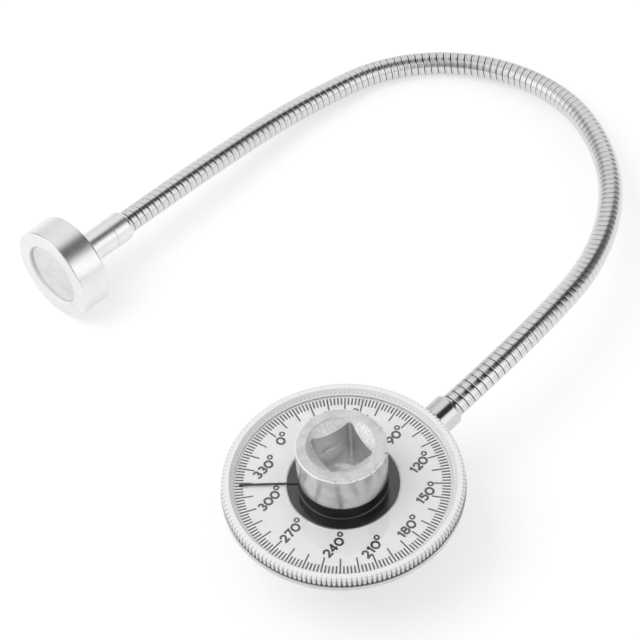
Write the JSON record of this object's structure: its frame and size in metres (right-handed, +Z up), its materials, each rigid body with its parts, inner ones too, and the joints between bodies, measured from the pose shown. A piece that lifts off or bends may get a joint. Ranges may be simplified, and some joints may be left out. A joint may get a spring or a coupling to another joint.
{
  "type": "torque angle gauge",
  "caption": "Square drive adapter with a needle over a dial that sets to zero, its base held by a bendable metal hose with a magnet end, for measuring the angle a fastener turns.",
  "frame": {"origin": "middle of the male square's end face", "axes": "+Z up along the drive's axis, from the male square to the socket head; +X and +Y out of two flats of the male square, with the ball on the flat that faces -Y"},
  "size_m": [0.1885, 0.1975, 0.0442],
  "materials": {
    "drive_steel": "fine turned satin",
    "spring_steel": "plain bright",
    "pointer_black": "smooth gloss",
    "cover_clear": "clear, with a knurled rim",
    "scale_white": "satin white with black marks",
    "rubber_black": "matte",
    "base_alloy": "fine satin",
    "bush_bronze": "sintered",
    "hose_chrome": "bright plated",
    "ferrule_chrome": "bright plated",
    "magnet_nickel": "satin nickel plated",
    "magnet_face": "nickel plated"
  },
  "bodies": {
    "housing": {"base_housing": "base_alloy", "spindle_bush": "bush_bronze", "wave_washer": "spring_steel", "friction_washer": "rubber_black", "arm_stud": "spring_steel", "stud_grub_screw": "spring_steel", "dial_ferrule": "ferrule_chrome", "gooseneck_1": "hose_chrome"},
    "drive": {"drive_body": "drive_steel", "retaining_ring": "spring_steel", "pointer_hub": "pointer_black", "needle": "pointer_black", "detent_spring": "spring_steel"},
    "detent": {"detent_ball": "spring_steel"},
    "dial": {"clear_cover": "cover_clear", "scale_plate": "scale_white"},
    "arm_2": {"gooseneck_2": "hose_chrome"},
    "arm_3": {"gooseneck_3": "hose_chrome"},
    "arm_4": {"gooseneck_4": "hose_chrome"},
    "arm_5": {"gooseneck_5": "hose_chrome"},
    "arm_6": {"gooseneck_6": "hose_chrome"},
    "magnet_end": {"gooseneck_7": "hose_chrome", "magnet_ferrule": "ferrule_chrome", "magnet_stem": "magnet_nickel", "magnet_cup": "magnet_nickel", "magnet_disc": "magnet_face", "magnet_spacer": "spring_steel", "cup_screw": "spring_steel"}
  },
  "joints": [
    {"name": "drive_spin", "type": "hinge", "parent": "housing", "child": "drive", "pos_m": [0, 0, 0.0226], "axis": [0, 0, 1], "continuous": true},
    {"name": "dial_zero", "type": "hinge", "parent": "housing", "child": "dial", "pos_m": [0, 0, 0.0266], "axis": [0, 0, 1], "continuous": true},
    {"name": "detent_press", "type": "slide", "parent": "drive", "child": "detent", "axis": [0, 1, 0], "range_m": [0, 0.0011], "stiffness_N_per_m": 2000, "springref_m": -0.0008, "deforming": ["detent_spring"]},
    {"name": "arm_lift_1", "type": "hinge", "parent": "housing", "child": "arm_2", "pos_m": [0.09105, 0.0287, 0.02503], "axis": [0.4756, -0.8797, 0], "range_deg": [0, 24]},
    {"name": "arm_yaw_1", "type": "hinge", "parent": "arm_2", "child": "arm_3", "pos_m": [0.12585, 0.05842, 0.01703], "axis": [0.1044, 0.1366, 0.9851], "range_deg": [-24, 8]},
    {"name": "arm_lift_2", "type": "hinge", "parent": "arm_3", "child": "arm_4", "pos_m": [0.14355, 0.10054, 0.00946], "axis": [0.9898, -0.1426, 0], "range_deg": [0, 24]},
    {"name": "arm_yaw_2", "type": "hinge", "parent": "arm_4", "child": "arm_5", "pos_m": [0.13086, 0.14383, 0.00445], "axis": [-0.041, 0.0475, 0.998], "range_deg": [-24, 8]},
    {"name": "arm_lift_3", "type": "hinge", "parent": "arm_5", "child": "arm_6", "pos_m": [0.08885, 0.15942, 0.00498], "axis": [-0.1478, 0.989, 0], "range_deg": [0, 24]},
    {"name": "arm_yaw_3", "type": "hinge", "parent": "arm_6", "child": "magnet_end", "pos_m": [0.04384, 0.14803, 0.0102], "axis": [0.1292, 0.0468, 0.9905], "range_deg": [-24, 8]}
  ]
}
